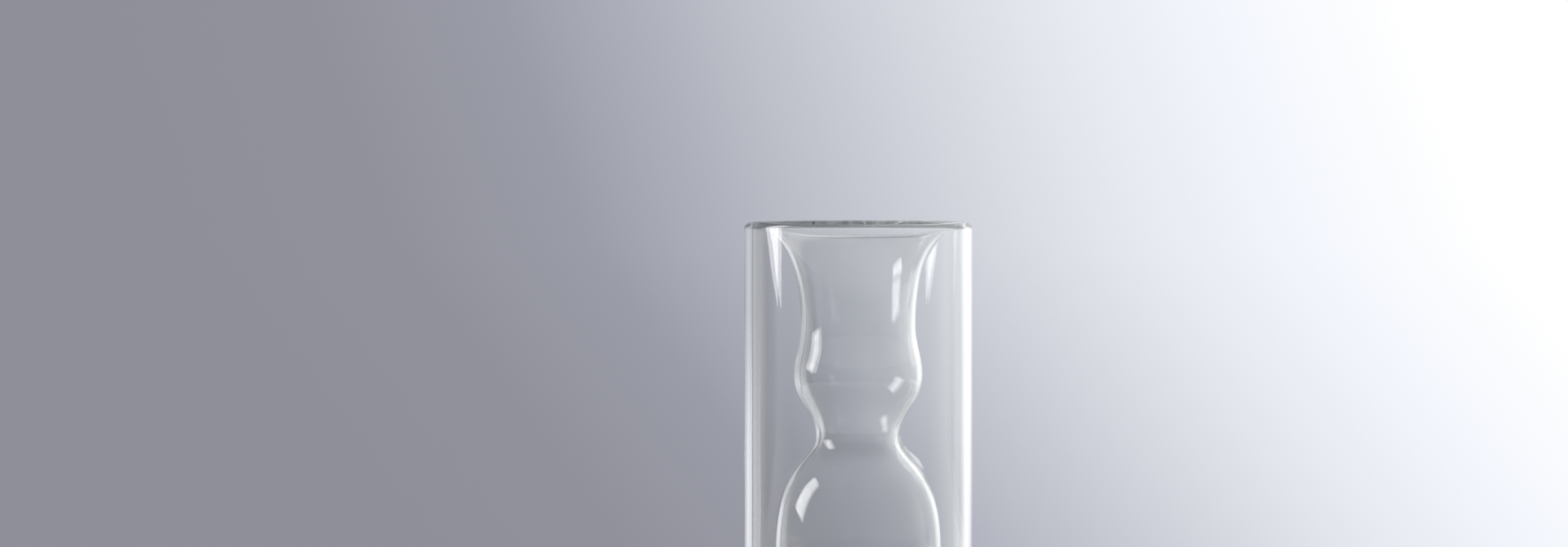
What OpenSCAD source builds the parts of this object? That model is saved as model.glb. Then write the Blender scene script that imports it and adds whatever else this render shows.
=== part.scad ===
// Double-walled blown glass vase.
// A straight outer cylinder and a gourd-shaped inner vessel are fused together at the rim, so that the
// vessel hangs in a sealed air gap. A thick base closes the cylinder, and a soft plug closes its vent.
// Radii are measured from the vase's axis, and heights from the surface that it stands on.

/* [Outer cylinder] */
// Outside diameter of the cylinder
vase_d = 90; // [80:1:130]
// Height of the rim above the table
vase_h = 180; // [172:1:260]
// Wall of the cylinder
outer_wall = 3.2; // [1.6:0.1:4]

/* [Rim] */
// Thickness of the rim's crown, over the air gap
rim_t = 2.3; // [1.6:0.1:4]
// Radius of the fold on its hidden side, towards the air gap
fold_r = 0.6; // [0.4:0.1:3]

/* [Inner vessel] */
// Wall of the vessel below its mouth
vessel_wall = 1.9; // [1.4:0.1:3.5]
// Depth of the neck below the rim
neck_depth = 41.5; // [34:0.5:46]
// Outside diameter of the neck
neck_d = 45; // [30:0.2:48]
// Depth of the small bulb's widest ring below the rim
small_bulb_depth = 61; // [54:0.5:68]
// Outside diameter of the small bulb
small_bulb_d = 50.6; // [44:0.2:64]
// Depth of the waist below the rim
waist_depth = 84.5; // [78:0.5:96]
// Outside diameter of the waist
waist_d = 33.2; // [20:0.2:42]
// Depth of the large bulb's widest ring below the rim
large_bulb_depth = 129; // [118:0.5:142]
// Outside diameter of the large bulb
large_bulb_d = 65.2; // [52:0.2:70]
// Air gap between the vessel's bottom and the base
bottom_gap = 7; // [3:0.5:14]

/* [Vessel curves] */
// Share of the mouth's height over which its wall stays upright
mouth_rise = 0.62; // [0.3:0.01:0.9]
// Share of the mouth's width over which its lip lies flat
mouth_flare = 0.58; // [0.3:0.01:0.9]
// Roundness of the neck and of the small bulb
gentle_bend = 0.4; // [0.2:0.01:0.7]
// Roundness of the pinched waist
waist_bend = 0.22; // [0.1:0.01:0.5]
// Fullness of the large bulb's shoulder
bulb_shoulder = 0.8; // [0.4:0.01:0.95]
// Fullness of the large bulb's lower half
bulb_belly = 0.58; // [0.3:0.01:0.8]

/* [Base] */
// Thickness of the base
base_thick = 6; // [4.5:0.1:10]
// Rounding of the base's outer edge
heel_r = 5; // [2:0.1:8]
// Rounding of the corner between base and wall, inside the air gap
corner_r = 3.5; // [1:0.1:8]
// Outside diameter of the hollow under the base
kick_d = 56; // [30:1:70]
// Height of that hollow at its middle
kick_h = 1.2; // [0.4:0.1:2]

/* [Vent plug] */
// Diameter of the vent through the base
vent_d = 6; // [4:0.2:9]
// Diameter of the plug's head
plug_head_d = 10; // [9.6:0.2:16]
// Thickness of the plug's head
plug_head_t = 1.4; // [0.8:0.1:2]
// How far the plug's nose stands up into the air gap
plug_nose = 0.8; // [0.3:0.1:2]
// Gap round the plug
plug_clear = 0.1; // [0.05:0.05:0.3]

/* [Hidden] */
$fn = 128;
curve_steps = 16;
cut_past = 1;
clear_glass = [0.86, 0.9, 0.91, 0.4];
clear_silicone = [0.9, 0.91, 0.9, 0.8];

vase_r = vase_d / 2;
bore_r = vase_r - outer_wall;
neck_r = neck_d / 2;
small_bulb_r = small_bulb_d / 2;
waist_r = waist_d / 2;
large_bulb_r = large_bulb_d / 2;

// The rim is a quarter turn about this centre, from the cylinder's wall to its own crown
fold_x = bore_r - fold_r;
fold_z = vase_h - rim_t - fold_r;

neck_z = vase_h - neck_depth;
small_bulb_z = vase_h - small_bulb_depth;
waist_z = vase_h - waist_depth;
large_bulb_z = vase_h - large_bulb_depth;
bottom_z = base_thick + bottom_gap;
mouth_z = vase_h - rim_t;

// The cylinder is joined to the base where both of the base's corners have straightened out
base_joint_z = max(heel_r, base_thick + corner_r);

kick_sphere_r = (pow(kick_d / 2, 2) + pow(kick_h, 2)) / (2 * kick_h);
plug_seat_z = kick_h + plug_head_t;

// A point on a cubic curve, and the curve's direction there
function curve_point(c, t) =
    pow(1 - t, 3) * c[0] + 3 * pow(1 - t, 2) * t * c[1] + 3 * (1 - t) * t * t * c[2] + pow(t, 3) * c[3];
function curve_heading(c, t) =
    pow(1 - t, 2) * (c[1] - c[0]) + 2 * (1 - t) * t * (c[2] - c[1]) + t * t * (c[3] - c[2]);

// A curve between two rings of the vessel that leaves and arrives upright
function ring_to_ring(r0, z0, bend0, r1, z1, bend1) =
    [[r0, z0], [r0, z0 + bend0 * (z1 - z0)], [r1, z1 - bend1 * (z1 - z0)], [r1, z1]];

// The side of the vessel that faces the air gap, from its bottom up to the rim
vessel_curves = [
    [
        [0, bottom_z],
        [bulb_belly * large_bulb_r, bottom_z],
        [large_bulb_r, large_bulb_z - bulb_belly * (large_bulb_z - bottom_z)],
        [large_bulb_r, large_bulb_z]
    ],
    ring_to_ring(large_bulb_r, large_bulb_z, bulb_shoulder, waist_r, waist_z, waist_bend),
    ring_to_ring(waist_r, waist_z, gentle_bend, small_bulb_r, small_bulb_z, gentle_bend),
    ring_to_ring(small_bulb_r, small_bulb_z, gentle_bend, neck_r, neck_z, gentle_bend),
    [
        [neck_r, neck_z],
        [neck_r, neck_z + mouth_rise * (mouth_z - neck_z)],
        [fold_x - mouth_flare * (fold_x - neck_r), mouth_z],
        [fold_x, mouth_z]
    ]
];
last_curve = len(vessel_curves) - 1;

// The vessel's wall grows to the rim's own thickness along the mouth
function wall_at(k, t) = k < last_curve ? vessel_wall : vessel_wall + t * (rim_t - vessel_wall);

// Steps along all the curves, as [curve, share of it]
vessel_steps = [
    for (k = [0 : last_curve])
        for (i = [0 : curve_steps - (k < last_curve ? 1 : 0)])
            [k, i / curve_steps]
];
function gap_side(s) = curve_point(vessel_curves[s[0]], s[1]);
function water_side(s) =
    let (h = curve_heading(vessel_curves[s[0]], s[1]))
        gap_side(s) + wall_at(s[0], s[1]) / norm(h) * [-h[1], h[0]];

// A section from the axis outwards, with its lower outer corner rounded
module rounded_section(r, h, round_r) {
    square([r - round_r, h]);
    translate([0, round_r]) square([r, h - round_r]);
    translate([r - round_r, round_r]) mirror([0, 1]) quarter_disc(round_r);
}

module quarter_disc(r) {
    intersection() {
        circle(r);
        square(r);
    }
}

module outer_cylinder() {
    color(clear_glass) translate([0, 0, base_joint_z]) difference() {
        cylinder(r = vase_r, h = fold_z - base_joint_z);
        translate([0, 0, -cut_past]) cylinder(r = bore_r, h = fold_z - base_joint_z + 2 * cut_past);
    }
}

module fused_rim() {
    color(clear_glass) rotate_extrude() translate([fold_x, fold_z]) difference() {
        scale([fold_r + outer_wall, fold_r + rim_t]) quarter_disc(1);
        circle(fold_r);
    }
}

module inner_vessel() {
    gap_points = [for (s = vessel_steps) gap_side(s)];
    water_points = [for (i = [len(vessel_steps) - 1 : -1 : 0]) water_side(vessel_steps[i])];
    color(clear_glass) rotate_extrude() polygon(concat(gap_points, water_points));
}

module base_disc() {
    color(clear_glass) difference() {
        rotate_extrude() difference() {
            rounded_section(vase_r, base_joint_z, heel_r);
            translate([0, base_thick]) rounded_section(bore_r, base_joint_z - base_thick + cut_past, corner_r);
        }
        translate([0, 0, kick_h - kick_sphere_r]) sphere(kick_sphere_r);
        translate([0, 0, -cut_past]) cylinder(d = plug_head_d + 2 * plug_clear, h = plug_seat_z + cut_past);
        cylinder(d = vent_d, h = base_thick + cut_past);
    }
}

module vent_plug() {
    stem_r = vent_d / 2 - plug_clear;
    nose_r = stem_r - plug_nose / 2;
    color(clear_silicone) {
        translate([0, 0, kick_h]) cylinder(d = plug_head_d, h = plug_head_t);
        translate([0, 0, kick_h]) cylinder(r = stem_r, h = base_thick - kick_h);
        translate([0, 0, base_thick]) cylinder(r1 = stem_r, r2 = nose_r, h = plug_nose);
    }
}

outer_cylinder();
fused_rim();
inner_vessel();
base_disc();
vent_plug();
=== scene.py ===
import math

import bpy
import numpy as np
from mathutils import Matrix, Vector


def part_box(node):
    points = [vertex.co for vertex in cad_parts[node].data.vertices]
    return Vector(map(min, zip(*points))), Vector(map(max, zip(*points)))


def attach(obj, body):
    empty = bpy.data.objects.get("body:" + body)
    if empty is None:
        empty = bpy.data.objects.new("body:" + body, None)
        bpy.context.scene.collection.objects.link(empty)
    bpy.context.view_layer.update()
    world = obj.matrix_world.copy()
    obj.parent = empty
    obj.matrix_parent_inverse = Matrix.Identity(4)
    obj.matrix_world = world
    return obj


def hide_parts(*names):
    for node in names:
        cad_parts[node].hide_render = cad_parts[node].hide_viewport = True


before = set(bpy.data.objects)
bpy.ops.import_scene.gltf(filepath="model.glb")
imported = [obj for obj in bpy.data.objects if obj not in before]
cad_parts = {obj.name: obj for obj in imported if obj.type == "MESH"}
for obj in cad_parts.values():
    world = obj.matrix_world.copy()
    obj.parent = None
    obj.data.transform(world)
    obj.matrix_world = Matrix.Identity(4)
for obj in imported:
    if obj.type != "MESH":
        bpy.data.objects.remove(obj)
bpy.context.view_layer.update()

MM = 0.001

# Fineness of the turned meshes
SEGMENTS = 192
CURVE_STEPS = 400
OUTLINE_STEPS = 260
ARC_STEPS = 40
WALL_STEPS = 60
PLUG_ARC_STEPS = 8
PLUG_HEAD_STEPS = 6
PLUG_NOSE_STEPS = 4
FLOOR_STEPS = 96

# Points nearer to the axis than this lie on it
ON_AXIS = 1e-9

# The inner vessel's rings, as depth below the rim and outside radius
NECK = (41.5 * MM, 22.5 * MM)
SMALL_BULB = (61.0 * MM, 25.3 * MM)
WAIST = (84.5 * MM, 16.6 * MM)
LARGE_BULB = (129.0 * MM, 32.6 * MM)
VESSEL_WALL = 1.9 * MM

# How the vessel's curves leave and reach those rings, as shares of each curve's span
MOUTH_RISE = 0.62
MOUTH_FLARE = 0.58
GENTLE_BEND = 0.4
WAIST_BEND = 0.22
BULB_SHOULDER = 0.8
BULB_BELLY = 0.58

# How far those curves flow into each other
EASE = 1.6 * MM

# The base and its plug
BASE_THICK = 6.0 * MM
HEEL_R = 5.0 * MM
CORNER_R = 3.5 * MM
KICK_R = 28.0 * MM
KICK_H = 1.2 * MM
VENT_R = 3.0 * MM
PLUG_HEAD_T = 1.4 * MM
PLUG_GAP = 0.1 * MM
PLUG_SEAT_GAP = 0.05 * MM
PLUG_ROUND = 0.4 * MM

# Unevenness of the blown walls, and how far from a weld it is in full
VESSEL_WAVE = 0.16 * MM
CYLINDER_WAVE = 0.04 * MM
WAVE_FADE = 14.0 * MM
# Its waves, as (share, waves round the vase, radians per metre upwards, multiple of the phase)
WAVES = [(0.5, 2, 60, 1.0), (0.3, 3, -95, 1.7), (0.2, 5, 150, 2.3)]
# Its phases on the outer and the inner side of each wall
CYLINDER_PHASES = (0.4, 2.9)
VESSEL_PHASES = (1.1, 4.2)

# Clear glass: its tints between streaks, the roughness of its smears, and the noise values that both span
GLASS_IOR = 1.47
CLEAR_TINTS = ((0.98, 0.985, 0.98), (0.995, 0.998, 0.995))
VESSEL_TINTS = ((0.955, 0.96, 0.957), (0.978, 0.982, 0.979))
# The rim's glass is tinted dark grey, which is painted shade: it stands in for the dark line that the rounded
# rim shows by bending dark surroundings into view
RIM_PAINTED_SHADE_TINTS = ((0.44, 0.46, 0.45), (0.54, 0.56, 0.55))
SMEAR = 0.03
RIM_SMEAR = 0.1
STREAKS_PER_M = 60.0
STREAK_STRETCH = (1.0, 1.0, 0.3)
STREAK_RANGE = (0.3, 0.7)
SMEARS_PER_M = 35.0
SMEAR_RANGE = (0.45, 0.8)

# Milky silicone: its tint from one mottle to the next, and the roughness of its skin
SILICONE_IOR = 1.41
SILICONE_TINTS = ((0.84, 0.86, 0.86), (0.92, 0.93, 0.93))
SILICONE_SKIN = (0.35, 0.5)
SILICONE_DEPTH = 1.5 * MM
MOTTLES_PER_M = 900.0

# The photograph's frame, and where the vase lies in it
PHOTO_W = 1920
PHOTO_H = 670
VASE_MIDDLE_PX = 1051
VASE_WIDTH_PX = 280
RIM_TOP_PX = 271.4
LENS_MM = 100.0
SENSOR_MM = 36.0

# The sweep's colours, by how far a direction lies to the right of straight ahead
SWEEP_HALF_WIDTH = 0.2
SWEEP_STOPS = [
    (-0.135, (0.272, 0.274, 0.317)),
    (-0.09, (0.282, 0.284, 0.328)),
    (-0.045, (0.325, 0.333, 0.388)),
    (-0.012, (0.43, 0.44, 0.505)),
    (0.046, (0.655, 0.675, 0.73)),
    (0.082, (0.79, 0.815, 0.87)),
    (0.12, (0.90, 0.923, 0.98)),
    (0.16, (1.0, 1.0, 1.0)),
]
# The lift at which they stand upright, and how far they lean above and below it, up to a greatest lift
SWEEP_LEVEL = 0.0066
SWEEP_LEAN_ABOVE = 0.36
SWEEP_LEAN_BELOW = 0.76
SWEEP_LEAN_REACH = 0.1
# Lifts between which the sweep grows dim upwards, and its brightness there
SWEEP_DIMS = (0.12, 0.9, 1.0, 0.4)
# Least level part of a direction, so that straight up and down have a colour too
LEAST_LEVEL = 0.02

# The room before the vase and the floor far off, and where each fades out along a direction's Y or Z
ROOM = (0.30, 0.305, 0.325)
ROOM_RANGE = (-0.35, 0.35)
FAR_FLOOR = (0.55, 0.56, 0.575)
FAR_FLOOR_RANGE = (-0.34, -0.2)

# Cards that show only in reflections and refractions, and their brightness as (axis, from, to, there, there)
SWEEP_CARD_Y = 0.65
SWEEP_CARD_HALF_W = 2.4
SWEEP_CARD_TOP = 1.6
SWEEP_CARD_GLOW = [
    ("X", 0.21, 0.3, 1.0, 1.25),
    ("X", 0.45, 1.0, 1.0, 0.45),
    ("X", -0.13, -0.06, 0.9, 1.0),
    ("Z", 0.02, 0.1, 0.9, 1.0),
]
LOW_CARD_LEFT = (-0.44, 0.54)
LOW_CARD_RIGHT = (-0.155, 0.62)
LOW_CARD_TOP = 0.26
LOW_CARD_COLOUR = (0.925, 0.95, 1.0, 1.0)
LOW_CARD_GLOW = [("Z", 0.05, 0.15, 0.92, 0.64), ("X", -0.26, -0.17, 1.0, 0.5)]

# The floor, which thins out from one radius to another, and looks paler than its light alone makes it
FLOOR_R = 0.75
FLOOR_FADE_R = 0.4
FLOOR_Z = -0.2 * MM
FLOOR_TINTS = ((0.70, 0.71, 0.73), (0.75, 0.76, 0.78))
FLOOR_ROUGHNESS = 0.6
FLOOR_GRAINS_PER_M = 14.0
FLOOR_PALE = 0.38
# Numbers of bounces between which that paleness fades, so that the rim doesn't gather it
FLOOR_PALE_BOUNCES = (9.0, 14.0)

# The soft light on the left: its place, width and height, radiance and turn in degrees
SOFTBOX_PLACE = (-0.55, 0.02, 0.345)
SOFTBOX_SIZE = (0.2, 0.37)
SOFTBOX_RADIANCE = 5.6
SOFTBOX_ROLL = -13.0

# Light that runs along a glass wall meets it many times
BOUNCES = 400
TRANSPARENT_BOUNCES = 32


def radii(node):
    """Least and greatest distance of a node's points from the vase's axis."""
    distances = [math.hypot(v.co.x, v.co.y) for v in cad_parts[node].data.vertices]
    return min(distances), max(distances)


bore_r, vase_r = radii("outer_cylinder")
outer_wall = vase_r - bore_r
base_joint_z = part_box("outer_cylinder")[0].z
fold_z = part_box("outer_cylinder")[1].z
fold_x = radii("fused_rim")[0]
fold_r = bore_r - fold_x
vase_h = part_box("fused_rim")[1].z
mouth_z = fold_z + fold_r
rim_t = vase_h - mouth_z
vessel_bottom_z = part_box("inner_vessel")[0].z
plug_head_r = radii("vent_plug")[1]
plug_top_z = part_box("vent_plug")[1].z
plug_seat_z = KICK_H + PLUG_HEAD_T


# Curves of the turned sections, as rows of (radius, height)

def bezier(corners):
    """Points of a cubic curve and its headings there."""
    t = np.linspace(0.0, 1.0, CURVE_STEPS + 1)[:, None]
    s = 1 - t
    a, b, c, d = np.array(corners)
    points = s**3 * a + 3 * s**2 * t * b + 3 * s * t**2 * c + t**3 * d
    headings = s**2 * (b - a) + 2 * s * t * (c - b) + t**2 * (d - c)
    return points, headings / np.linalg.norm(headings, axis=1)[:, None]


def arc(centre, radius, start, end, steps=ARC_STEPS, rise=None):
    """Points of an arc between two angles in degrees, counted from straight outwards.

    rise is the arc's radius upwards, where that isn't its radius sideways.
    """
    a = np.radians(np.linspace(start, end, steps + 1))
    rise = radius if rise is None else rise
    return np.column_stack([centre[0] + radius * np.cos(a), centre[1] + rise * np.sin(a)])


def line(start, end, steps=1):
    return np.linspace(start, end, steps + 1)


def join(*runs):
    """One run of points from several that follow each other."""
    return np.vstack([runs[0]] + [run[1:] for run in runs[1:]])


def fade(distance):
    """0 at a weld or an end, and 1 once clear of it."""
    t = np.clip(distance / WAVE_FADE, 0.0, 1.0)
    return t * t * (3 - 2 * t)


def eased(points):
    """An outline with even steps, whose curves flow into each other as soft glass does.

    Towards both ends it keeps to the points that it is given.
    """
    steps = np.linalg.norm(np.diff(points, axis=0), axis=1)
    along = np.concatenate([[0.0], np.cumsum(steps)])
    even = np.linspace(0.0, along[-1], OUTLINE_STEPS + 1)
    outline = np.column_stack([np.interp(even, along, points[:, k]) for k in (0, 1)])
    reach = int(3 * EASE / even[1]) + 1
    kernel = np.exp(-0.5 * (np.arange(-reach, reach + 1) * even[1] / EASE) ** 2)
    kernel /= kernel.sum()
    padded = np.pad(outline, ((reach, reach), (0, 0)), mode="edge")
    soft = np.column_stack([np.convolve(padded[:, k], kernel, mode="valid") for k in (0, 1)])
    return outline + fade(np.minimum(even, along[-1] - even))[:, None] * (soft - outline)


def ring_to_ring(low, low_bend, high, high_bend):
    """A curve between two rings of the vessel that leaves and arrives upright."""
    r0, z0 = low[1], vase_h - low[0]
    r1, z1 = high[1], vase_h - high[0]
    return [(r0, z0), (r0, z0 + low_bend * (z1 - z0)), (r1, z1 - high_bend * (z1 - z0)), (r1, z1)]


def vessel_sides():
    """The vessel's side towards the air gap and its side towards the water, both from the bottom up."""
    bulb_r, bulb_z = LARGE_BULB[1], vase_h - LARGE_BULB[0]
    neck_r, neck_z = NECK[1], vase_h - NECK[0]
    curves = [
        [
            (0.0, vessel_bottom_z),
            (BULB_BELLY * bulb_r, vessel_bottom_z),
            (bulb_r, bulb_z - BULB_BELLY * (bulb_z - vessel_bottom_z)),
            (bulb_r, bulb_z),
        ],
        ring_to_ring(LARGE_BULB, BULB_SHOULDER, WAIST, WAIST_BEND),
        ring_to_ring(WAIST, GENTLE_BEND, SMALL_BULB, GENTLE_BEND),
        ring_to_ring(SMALL_BULB, GENTLE_BEND, NECK, GENTLE_BEND),
        [
            (neck_r, neck_z),
            (neck_r, neck_z + MOUTH_RISE * (mouth_z - neck_z)),
            (fold_x - MOUTH_FLARE * (fold_x - neck_r), mouth_z),
            (fold_x, mouth_z),
        ],
    ]
    gap_side, water_side = [], []
    for number, corners in enumerate(curves):
        points, headings = bezier(corners)
        wall = np.full(len(points), VESSEL_WALL)
        if number == len(curves) - 1:
            wall = np.linspace(VESSEL_WALL, rim_t, len(points))
        inwards = np.column_stack([-headings[:, 1], headings[:, 0]])
        gap_side.append(points)
        water_side.append(points + wall[:, None] * inwards)
    return eased(join(*gap_side)), eased(join(*water_side))


# Turning a section into a mesh

def wave(angle, height, phase):
    """A slow unevenness between -1 and 1, as blowing leaves it."""
    return sum(
        share * np.sin(around * angle + upwards * height + shift * phase)
        for share, around, upwards, shift in WAVES
    )


def turn(runs, unevenness):
    """A section's turned points, the rings they form, each ring's material and each run's first ring."""
    angles = np.linspace(0.0, 2 * math.pi, SEGMENTS, endpoint=False)
    verts, rings, slots, starts = [], [], [], []
    for number, (points, slot) in enumerate(runs):
        last_is_shared = number < len(runs) - 1 or points[-1][0] > ON_AXIS
        own_points = points[:-1] if last_is_shared else points
        starts.append(len(rings))
        for r, z in own_points:
            first = len(verts)
            slots.append(slot)
            if r < ON_AXIS:
                verts.append((0.0, 0.0, z))
                rings.append([first] * SEGMENTS)
                continue
            out = np.full(SEGMENTS, r)
            if unevenness:
                out = out + unevenness(number, angles, r, z)
            verts += zip(out * np.cos(angles), out * np.sin(angles), np.full(SEGMENTS, z))
            rings.append(list(range(first, first + SEGMENTS)))
    return verts, rings, slots, starts


def skin(rings, slots, closes):
    """Faces from each ring to the next, and from the last to the first if it closes, with their materials."""
    faces, face_slots = [], []
    for k in range(len(rings) if closes else len(rings) - 1):
        low, high = rings[k], rings[(k + 1) % len(rings)]
        for j in range(SEGMENTS):
            i = (j + 1) % SEGMENTS
            faces.append(list(dict.fromkeys([low[j], low[i], high[i], high[j]])))
            face_slots.append(slots[k])
    return faces, face_slots


def runs_clockwise(runs):
    """Whether a section's points go round it clockwise, so that its faces would look inwards."""
    section = np.vstack([points[:-1] for points, _ in runs] + [runs[-1][0][-1:]])
    r, z = section[:, 0], section[:, 1]
    return np.sum(r * np.roll(z, -1) - np.roll(r, -1) * z) < 0


def lathe(name, runs, materials, unevenness=None):
    """A closed mesh turned from runs of (radius, height) points, each given as (points, material number).

    The runs follow each other, and the edge between two of them stays sharp. unevenness moves points
    towards or away from the axis, and is given their run's number, angles, radius and height.
    """
    verts, rings, slots, starts = turn(runs, unevenness)
    starts_on_axis = runs[0][0][0][0] < ON_AXIS
    faces, face_slots = skin(rings, slots, closes=not starts_on_axis)
    if runs_clockwise(runs):
        faces = [face[::-1] for face in faces]
    mesh = bpy.data.meshes.new(name)
    mesh.from_pydata([tuple(map(float, v)) for v in verts], [], faces)
    mesh.polygons.foreach_set("material_index", face_slots)
    mesh.polygons.foreach_set("use_smooth", [True] * len(faces))
    for material in materials:
        mesh.materials.append(material)
    sharp_rings = {v: k for k in starts for v in rings[k] if len(set(rings[k])) > 1}
    for edge in mesh.edges:
        a, b = edge.vertices
        if a in sharp_rings and sharp_rings.get(b) == sharp_rings[a]:
            edge.use_edge_sharp = True
    mesh.update()
    piece = bpy.data.objects.new(name, mesh)
    bpy.context.scene.collection.objects.link(piece)
    return piece


# Shader nodes

def new_material(name):
    material = bpy.data.materials.new(name)
    material.use_nodes = True
    material.node_tree.nodes.clear()
    return material, material.node_tree


def add(tree, kind, **inputs):
    """A new node with some of its inputs set, named as in the node's panel with _ for spaces."""
    made = tree.nodes.new(kind)
    for key, value in inputs.items():
        made.inputs[key.replace("_", " ")].default_value = value
    return made


def maths(tree, operation, a, b=None):
    """A Math node between sockets or numbers, and its result."""
    made = tree.nodes.new("ShaderNodeMath")
    made.operation = operation
    for socket, value in zip(made.inputs, (a, b)):
        if value is None:
            continue
        if isinstance(value, bpy.types.NodeSocket):
            tree.links.new(value, socket)
        else:
            socket.default_value = value
    return made.outputs[0]


def spread(tree, value, low, high, at_low, at_high, interpolation="SMOOTHSTEP"):
    """value taken from the range low to high onto at_low to at_high, and held beyond it."""
    made = add(tree, "ShaderNodeMapRange", From_Min=low, From_Max=high, To_Min=at_low, To_Max=at_high)
    made.interpolation_type = interpolation
    tree.links.new(value, made.inputs["Value"])
    return made.outputs["Result"]


def two_tone(tree, value, colours, low=0.0, high=1.0):
    """A colour between two, by where value lies from low to high."""
    ramp = tree.nodes.new("ShaderNodeValToRGB")
    for stop, place, colour in zip(ramp.color_ramp.elements, (low, high), colours):
        stop.position = place
        stop.color = (*colour, 1.0)
    tree.links.new(value, ramp.inputs["Fac"])
    return ramp.outputs["Color"]


def product(tree, position, spreads):
    """Spreads of a position's parts, given as (axis, low, high, at_low, at_high), multiplied together."""
    split = tree.nodes.new("ShaderNodeSeparateXYZ")
    tree.links.new(position, split.inputs["Vector"])
    result = 1.0
    for axis, *ends in spreads:
        result = maths(tree, "MULTIPLY", spread(tree, split.outputs[axis], *ends), result)
    return result


# Materials of the pieces

def glass_material(name, tints, roughest):
    """Clear flame-polished glass, with faint streaks in its tint and faint smears in its polish. Where the
    tints are dark, as on the rim, they are painted shade.
    """
    material, tree = new_material(name)
    out = tree.nodes.new("ShaderNodeOutputMaterial")
    shader = add(tree, "ShaderNodeBsdfPrincipled", IOR=GLASS_IOR, Transmission_Weight=1.0)
    place = tree.nodes.new("ShaderNodeTexCoord")
    stretch = add(tree, "ShaderNodeMapping", Scale=STREAK_STRETCH)
    streaks = add(tree, "ShaderNodeTexNoise", Scale=STREAKS_PER_M, Detail=3.0, Roughness=0.5)
    smears = add(tree, "ShaderNodeTexNoise", Scale=SMEARS_PER_M, Detail=4.0, Roughness=0.6)
    link = tree.links.new
    link(place.outputs["Object"], stretch.inputs["Vector"])
    link(stretch.outputs["Vector"], streaks.inputs["Vector"])
    link(place.outputs["Object"], smears.inputs["Vector"])
    tint = two_tone(tree, streaks.outputs["Fac"], tints, *STREAK_RANGE)
    polish = spread(tree, smears.outputs["Fac"], *SMEAR_RANGE, 0.0, roughest, "LINEAR")
    link(tint, shader.inputs["Base Color"])
    link(polish, shader.inputs["Roughness"])
    link(shader.outputs["BSDF"], out.inputs["Surface"])
    return material


def weld_material():
    """The faces where two pieces of glass have flowed together, which no longer show."""
    material, tree = new_material("fused_weld")
    out = tree.nodes.new("ShaderNodeOutputMaterial")
    shader = add(tree, "ShaderNodeBsdfTransparent", Color=(1.0, 1.0, 1.0, 1.0))
    tree.links.new(shader.outputs["BSDF"], out.inputs["Surface"])
    return material


def silicone_material():
    """Milky soft silicone with a satin, slightly mottled skin."""
    material, tree = new_material("clear_silicone")
    out = tree.nodes.new("ShaderNodeOutputMaterial")
    shader = add(
        tree,
        "ShaderNodeBsdfPrincipled",
        IOR=SILICONE_IOR,
        Transmission_Weight=0.35,
        Subsurface_Weight=0.4,
        Subsurface_Radius=(1.0, 1.0, 1.0),
        Subsurface_Scale=SILICONE_DEPTH,
    )
    place = tree.nodes.new("ShaderNodeTexCoord")
    mottle = add(tree, "ShaderNodeTexNoise", Scale=MOTTLES_PER_M, Detail=3.0)
    link = tree.links.new
    link(place.outputs["Object"], mottle.inputs["Vector"])
    tint = two_tone(tree, mottle.outputs["Fac"], SILICONE_TINTS)
    skin_roughness = spread(tree, mottle.outputs["Fac"], 0.0, 1.0, *SILICONE_SKIN, "LINEAR")
    link(tint, shader.inputs["Base Color"])
    link(skin_roughness, shader.inputs["Roughness"])
    link(shader.outputs["BSDF"], out.inputs["Surface"])
    return material


# Pieces, and the numbers of the materials on them

GLASS, WELD = 0, 1
SILICONE = 0
weld = weld_material()
glass = [glass_material("clear_glass", CLEAR_TINTS, SMEAR), weld]
vessel_glass = [glass_material("clear_glass_vessel", VESSEL_TINTS, SMEAR), weld]
# The rim's glass, whose dark grey tints are painted shade
rim_glass_painted_shade = [glass_material("glass_edge_painted_shade", RIM_PAINTED_SHADE_TINTS, RIM_SMEAR), weld]


def stand_for(piece, node):
    """Lets a piece take its CAD node's place on the vase."""
    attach(piece, "root")
    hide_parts(node)


def make_outer_cylinder():
    low, high = base_joint_z, fold_z
    runs = [
        (line((vase_r, low), (vase_r, high), WALL_STEPS), GLASS),
        (line((vase_r, high), (bore_r, high)), WELD),
        (line((bore_r, high), (bore_r, low), WALL_STEPS), GLASS),
        (line((bore_r, low), (vase_r, low)), WELD),
    ]

    def unevenness(run, angle, radius, height):
        """Always inwards, so that the cylinder stays within its own width."""
        clear = fade(min(height - low, high - height))
        outside, inside = CYLINDER_PHASES
        phase = outside if radius > (bore_r + vase_r) / 2 else inside
        return -CYLINDER_WAVE * clear * (0.5 + 0.5 * wave(angle, height, phase))

    return lathe("outer_cylinder_glass", runs, glass, unevenness)


def make_fused_rim():
    centre = (fold_x, fold_z)
    runs = [
        (arc(centre, fold_r + outer_wall, 0, 90, rise=fold_r + rim_t), GLASS),
        (line((fold_x, vase_h), (fold_x, mouth_z)), WELD),
        (arc(centre, fold_r, 90, 0), GLASS),
        (line((bore_r, fold_z), (vase_r, fold_z)), WELD),
    ]
    # The rim wears the glass that is darkened by painted shade
    return lathe("fused_rim_glass", runs, rim_glass_painted_shade)


def make_inner_vessel():
    gap_side, water_side = vessel_sides()
    runs = [
        (gap_side, GLASS),
        (line(gap_side[-1], water_side[-1]), WELD),
        (water_side[::-1], GLASS),
    ]

    def unevenness(run, angle, radius, height):
        clear = fade(vase_h - height) * np.clip(radius / WAVE_FADE, 0.0, 1.0)
        outside, inside = VESSEL_PHASES
        phase = outside if run == 0 else inside
        return VESSEL_WAVE * clear * wave(angle, height, phase)

    return lathe("inner_vessel_glass", runs, vessel_glass, unevenness)


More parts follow.
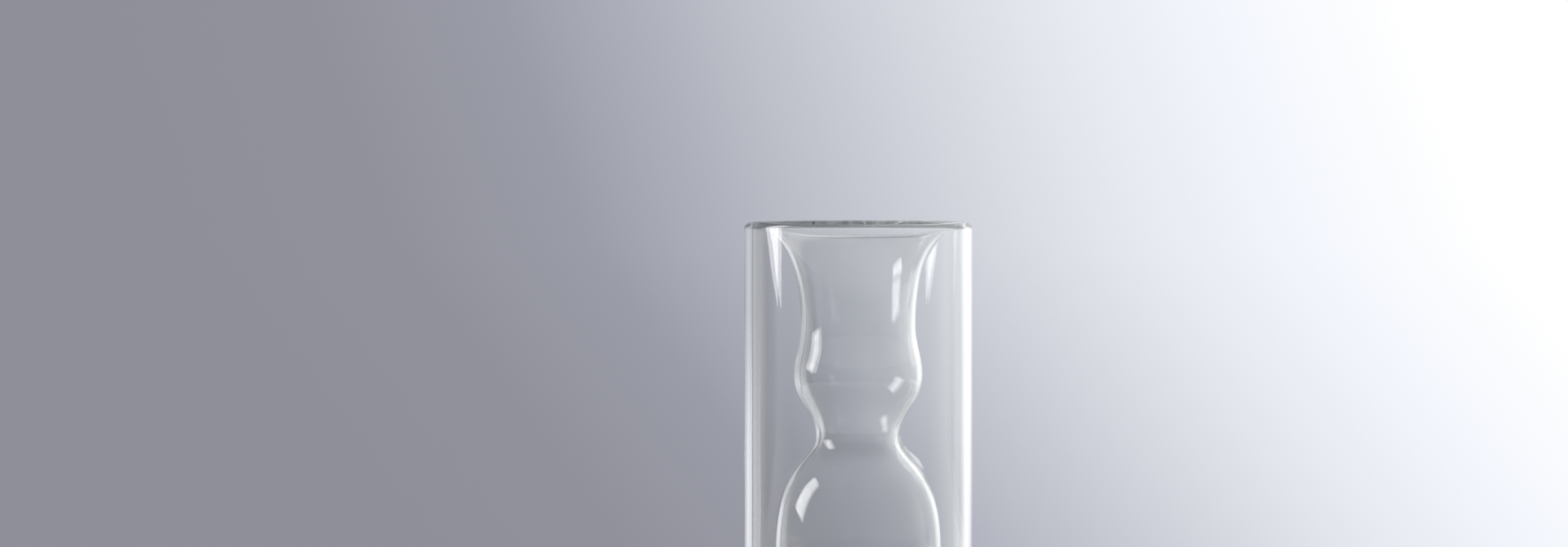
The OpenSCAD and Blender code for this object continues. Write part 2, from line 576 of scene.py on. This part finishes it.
def make_base():
    kick_sphere_r = (KICK_R**2 + KICK_H**2) / (2 * KICK_H)
    kick_centre = (0.0, KICK_H - kick_sphere_r)
    recess_r = plug_head_r + PLUG_GAP
    kick_start = math.degrees(math.acos(KICK_R / kick_sphere_r))
    kick_end = math.degrees(math.acos(recess_r / kick_sphere_r))
    kick = arc(kick_centre, kick_sphere_r, kick_start, kick_end)
    heel = arc((vase_r - HEEL_R, HEEL_R), HEEL_R, 0, -90)
    corner = arc((bore_r - CORNER_R, BASE_THICK + CORNER_R), CORNER_R, -90, 0)
    runs = [
        (join(line((vase_r, base_joint_z), (vase_r, HEEL_R)), heel, line(heel[-1], kick[0])), GLASS),
        (kick, GLASS),
        (line(kick[-1], (recess_r, plug_seat_z)), GLASS),
        (line((recess_r, plug_seat_z), (VENT_R, plug_seat_z)), GLASS),
        (line((VENT_R, plug_seat_z), (VENT_R, BASE_THICK)), GLASS),
        (join(line((VENT_R, BASE_THICK), corner[0]), corner), GLASS),
        (line((bore_r, base_joint_z), (vase_r, base_joint_z)), WELD),
    ]
    return lathe("base_glass", runs, glass)


def make_vent_plug():
    stem_r = VENT_R - PLUG_GAP
    head_low = KICK_H
    head_top = plug_seat_z - PLUG_SEAT_GAP
    edge_centre = (plug_head_r - PLUG_ROUND, head_low + PLUG_ROUND)
    nose_centre = (stem_r - PLUG_ROUND, plug_top_z - PLUG_ROUND)
    edge = arc(edge_centre, PLUG_ROUND, -90, 0, PLUG_ARC_STEPS)
    nose = arc(nose_centre, PLUG_ROUND, 0, 90, PLUG_ARC_STEPS)
    underside = line((0.0, head_low), edge[0], PLUG_HEAD_STEPS)
    top = line(nose[-1], (0.0, plug_top_z), PLUG_NOSE_STEPS)
    runs = [
        (join(underside, edge, line(edge[-1], (plug_head_r, head_top))), SILICONE),
        (line((plug_head_r, head_top), (stem_r, head_top)), SILICONE),
        (join(line((stem_r, head_top), nose[0]), nose, top), SILICONE),
    ]
    return lathe("vent_plug_silicone", runs, [silicone_material()])


stand_for(make_outer_cylinder(), "outer_cylinder")
stand_for(make_fused_rim(), "fused_rim")
stand_for(make_inner_vessel(), "inner_vessel")
stand_for(make_base(), "base_disc")
stand_for(make_vent_plug(), "vent_plug")


# Camera, level and square to the vase, as in the photograph

focal_px = LENS_MM / SENSOR_MM * PHOTO_W
metres_per_px = 2 * vase_r / VASE_WIDTH_PX
camera_place = Vector((
    (PHOTO_W / 2 - VASE_MIDDLE_PX) * metres_per_px,
    -focal_px * metres_per_px,
    vase_h - (PHOTO_H / 2 - RIM_TOP_PX) * metres_per_px,
))
camera = bpy.data.objects.new("camera", bpy.data.cameras.new("camera"))
camera.data.lens = LENS_MM
camera.data.sensor_width = SENSOR_MM
camera.location = camera_place
camera.rotation_euler = (math.radians(90), 0.0, 0.0)
bpy.context.scene.collection.objects.link(camera)
bpy.context.scene.camera = camera


# Stage: a sweep that is grey on the left and white on the right, a pale floor, two cards and a soft light

def sweep_group():
    """The sweep's colour in a direction: by how far that lies to the right, and upwards by less."""
    tree = bpy.data.node_groups.new("studio_sweep", "ShaderNodeTree")
    tree.interface.new_socket("Direction", in_out="INPUT", socket_type="NodeSocketVector")
    tree.interface.new_socket("Color", in_out="OUTPUT", socket_type="NodeSocketColor")
    start = tree.nodes.new("NodeGroupInput")
    end = tree.nodes.new("NodeGroupOutput")
    split = tree.nodes.new("ShaderNodeSeparateXYZ")
    tree.links.new(start.outputs["Direction"], split.inputs["Vector"])
    x, y, z = split.outputs
    squares = maths(tree, "ADD", maths(tree, "MULTIPLY", x, x), maths(tree, "MULTIPLY", y, y))
    level = maths(tree, "MAXIMUM", maths(tree, "SQRT", squares), LEAST_LEVEL)
    side = maths(tree, "DIVIDE", x, level)
    lift = maths(tree, "SUBTRACT", maths(tree, "DIVIDE", z, level), SWEEP_LEVEL)
    above = maths(tree, "MINIMUM", maths(tree, "MAXIMUM", lift, 0.0), SWEEP_LEAN_REACH)
    below = maths(tree, "MAXIMUM", maths(tree, "MINIMUM", lift, 0.0), -SWEEP_LEAN_REACH)
    above = maths(tree, "MULTIPLY", above, SWEEP_LEAN_ABOVE)
    below = maths(tree, "MULTIPLY", below, SWEEP_LEAN_BELOW)
    leant = maths(tree, "ADD", side, maths(tree, "ADD", above, below))
    share = maths(tree, "ADD", maths(tree, "MULTIPLY", leant, 0.5 / SWEEP_HALF_WIDTH), 0.5)
    ramp = tree.nodes.new("ShaderNodeValToRGB")
    stops = ramp.color_ramp.elements
    while len(stops) < len(SWEEP_STOPS):
        stops.new(0.5)
    for stop, (place, colour) in zip(stops, SWEEP_STOPS):
        stop.position = (place + SWEEP_HALF_WIDTH) / (2 * SWEEP_HALF_WIDTH)
        stop.color = (*colour, 1.0)
    tree.links.new(share, ramp.inputs["Fac"])
    scale = tree.nodes.new("ShaderNodeVectorMath")
    scale.operation = "SCALE"
    tree.links.new(ramp.outputs["Color"], scale.inputs[0])
    tree.links.new(spread(tree, lift, *SWEEP_DIMS), scale.inputs["Scale"])
    tree.links.new(scale.outputs["Vector"], end.inputs["Color"])
    return tree


sweep = sweep_group()


def sweep_colour(tree, direction):
    """The socket of the sweep's colour in a direction, which is given as a socket too."""
    group = tree.nodes.new("ShaderNodeGroup")
    group.node_tree = sweep
    tree.links.new(direction, group.inputs["Direction"])
    return group.outputs["Color"]


def make_world():
    """The sweep behind the vase, a dimmer room before it, and the floor carried on below."""
    world = bpy.data.worlds.new("studio")
    world.use_nodes = True
    tree = world.node_tree
    tree.nodes.clear()
    out = tree.nodes.new("ShaderNodeOutputWorld")
    background = tree.nodes.new("ShaderNodeBackground")
    place = tree.nodes.new("ShaderNodeTexCoord")
    split = tree.nodes.new("ShaderNodeSeparateXYZ")
    tree.links.new(place.outputs["Generated"], split.inputs["Vector"])
    colour = sweep_colour(tree, place.outputs["Generated"])
    for other, axis, ends in ((ROOM, "Y", ROOM_RANGE), (FAR_FLOOR, "Z", FAR_FLOOR_RANGE)):
        mix = tree.nodes.new("ShaderNodeMix")
        mix.data_type = "RGBA"
        tree.links.new(colour, mix.inputs["A"])
        mix.inputs["B"].default_value = (*other, 1.0)
        tree.links.new(spread(tree, split.outputs[axis], *ends, 1.0, 0.0), mix.inputs["Factor"])
        colour = mix.outputs["Result"]
    tree.links.new(colour, background.inputs["Color"])
    tree.links.new(background.outputs["Background"], out.inputs["Surface"])
    bpy.context.scene.world = world


def flat(name, corners, material):
    """One flat face of the stage."""
    mesh = bpy.data.meshes.new(name)
    mesh.from_pydata(corners, [], [list(range(len(corners)))])
    mesh.materials.append(material)
    made = bpy.data.objects.new(name, mesh)
    bpy.context.scene.collection.objects.link(made)
    return made


def make_card(name, left, right, top, glow):
    """A bright upright card on the floor that shows only in reflections and refractions.

    left and right are its lower corners as (x, y). What comes back is for setting its colour: its node tree,
    its emission and the socket of a place on it.
    """
    material, tree = new_material(name)
    out = tree.nodes.new("ShaderNodeOutputMaterial")
    light = tree.nodes.new("ShaderNodeEmission")
    place = tree.nodes.new("ShaderNodeNewGeometry").outputs["Position"]
    tree.links.new(product(tree, place, glow), light.inputs["Strength"])
    tree.links.new(light.outputs["Emission"], out.inputs["Surface"])
    card = flat(name, [(*left, 0.0), (*right, 0.0), (*right, top), (*left, top)], material)
    card.visible_camera = False
    card.visible_diffuse = False
    card.visible_shadow = False
    return tree, light, place


def make_sweep_card():
    """The sweep close behind the vase, where the glass bends its view of it, brighter past the right edge."""
    left = (-SWEEP_CARD_HALF_W, SWEEP_CARD_Y)
    right = (SWEEP_CARD_HALF_W, SWEEP_CARD_Y)
    tree, light, place = make_card("sweep_card", left, right, SWEEP_CARD_TOP, SWEEP_CARD_GLOW)
    away = tree.nodes.new("ShaderNodeVectorMath")
    away.operation = "SUBTRACT"
    away.inputs[1].default_value = camera_place
    tree.links.new(place, away.inputs[0])
    tree.links.new(sweep_colour(tree, away.outputs["Vector"]), light.inputs["Color"])


def make_low_card():
    """A low bright card behind on the left, which lights the left edges of the walls."""
    _, light, _ = make_card("low_card", LOW_CARD_LEFT, LOW_CARD_RIGHT, LOW_CARD_TOP, LOW_CARD_GLOW)
    light.inputs["Color"].default_value = LOW_CARD_COLOUR


def make_floor():
    """A pale round floor that thins out to nothing before its edge, and doesn't hide the vase from below."""
    material, tree = new_material("pale_floor")
    out = tree.nodes.new("ShaderNodeOutputMaterial")
    shader = add(tree, "ShaderNodeBsdfPrincipled", Roughness=FLOOR_ROUGHNESS)
    pale = tree.nodes.new("ShaderNodeEmission")
    both = tree.nodes.new("ShaderNodeAddShader")
    clear = tree.nodes.new("ShaderNodeBsdfTransparent")
    mix = tree.nodes.new("ShaderNodeMixShader")
    place = tree.nodes.new("ShaderNodeNewGeometry")
    rays = tree.nodes.new("ShaderNodeLightPath")
    grain = add(tree, "ShaderNodeTexNoise", Scale=FLOOR_GRAINS_PER_M, Detail=4.0)
    distance = tree.nodes.new("ShaderNodeVectorMath")
    distance.operation = "LENGTH"
    link = tree.links.new
    link(place.outputs["Position"], grain.inputs["Vector"])
    link(place.outputs["Position"], distance.inputs[0])
    tint = two_tone(tree, grain.outputs["Fac"], FLOOR_TINTS)
    seen = maths(tree, "MAXIMUM", rays.outputs["Is Camera Ray"], rays.outputs["Is Glossy Ray"])
    seen = maths(tree, "MAXIMUM", seen, rays.outputs["Is Transmission Ray"])
    early = spread(tree, rays.outputs["Ray Depth"], *FLOOR_PALE_BOUNCES, 1.0, 0.0)
    strength = maths(tree, "MULTIPLY", maths(tree, "MULTIPLY", seen, early), FLOOR_PALE)
    thin = spread(tree, distance.outputs["Value"], FLOOR_FADE_R, FLOOR_R, 0.0, 1.0)
    link(tint, shader.inputs["Base Color"])
    link(tint, pale.inputs["Color"])
    link(strength, pale.inputs["Strength"])
    link(maths(tree, "MAXIMUM", thin, place.outputs["Backfacing"]), mix.inputs[0])
    link(shader.outputs["BSDF"], both.inputs[0])
    link(pale.outputs["Emission"], both.inputs[1])
    link(both.outputs["Shader"], mix.inputs[1])
    link(clear.outputs["BSDF"], mix.inputs[2])
    link(mix.outputs["Shader"], out.inputs["Surface"])
    angles = np.linspace(0, 2 * math.pi, FLOOR_STEPS, endpoint=False)
    flat("floor", [(FLOOR_R * math.cos(a), FLOOR_R * math.sin(a), FLOOR_Z) for a in angles], material)


def make_softbox():
    """A rectangular soft light on the left that faces straight to the right, turned about its own axis."""
    width, height = SOFTBOX_SIZE
    lamp = bpy.data.lights.new("left_softbox", "AREA")
    lamp.shape = "RECTANGLE"
    lamp.size, lamp.size_y = width, height
    lamp.energy = SOFTBOX_RADIANCE * math.pi * width * height
    softbox = bpy.data.objects.new("left_softbox", lamp)
    softbox.location = SOFTBOX_PLACE
    softbox.rotation_euler = Vector((1.0, 0.0, 0.0)).to_track_quat("-Z", "Y").to_euler()
    softbox.rotation_euler.rotate_axis("Z", math.radians(SOFTBOX_ROLL))
    softbox.visible_camera = False
    bpy.context.scene.collection.objects.link(softbox)


make_world()
make_sweep_card()
make_low_card()
make_floor()
make_softbox()

scene = bpy.context.scene
scene.view_settings.view_transform = "Standard"
scene.cycles.max_bounces = BOUNCES
scene.cycles.transmission_bounces = BOUNCES
scene.cycles.glossy_bounces = BOUNCES
scene.cycles.transparent_max_bounces = TRANSPARENT_BOUNCES
scene.cycles.sample_clamp_indirect = 0.0
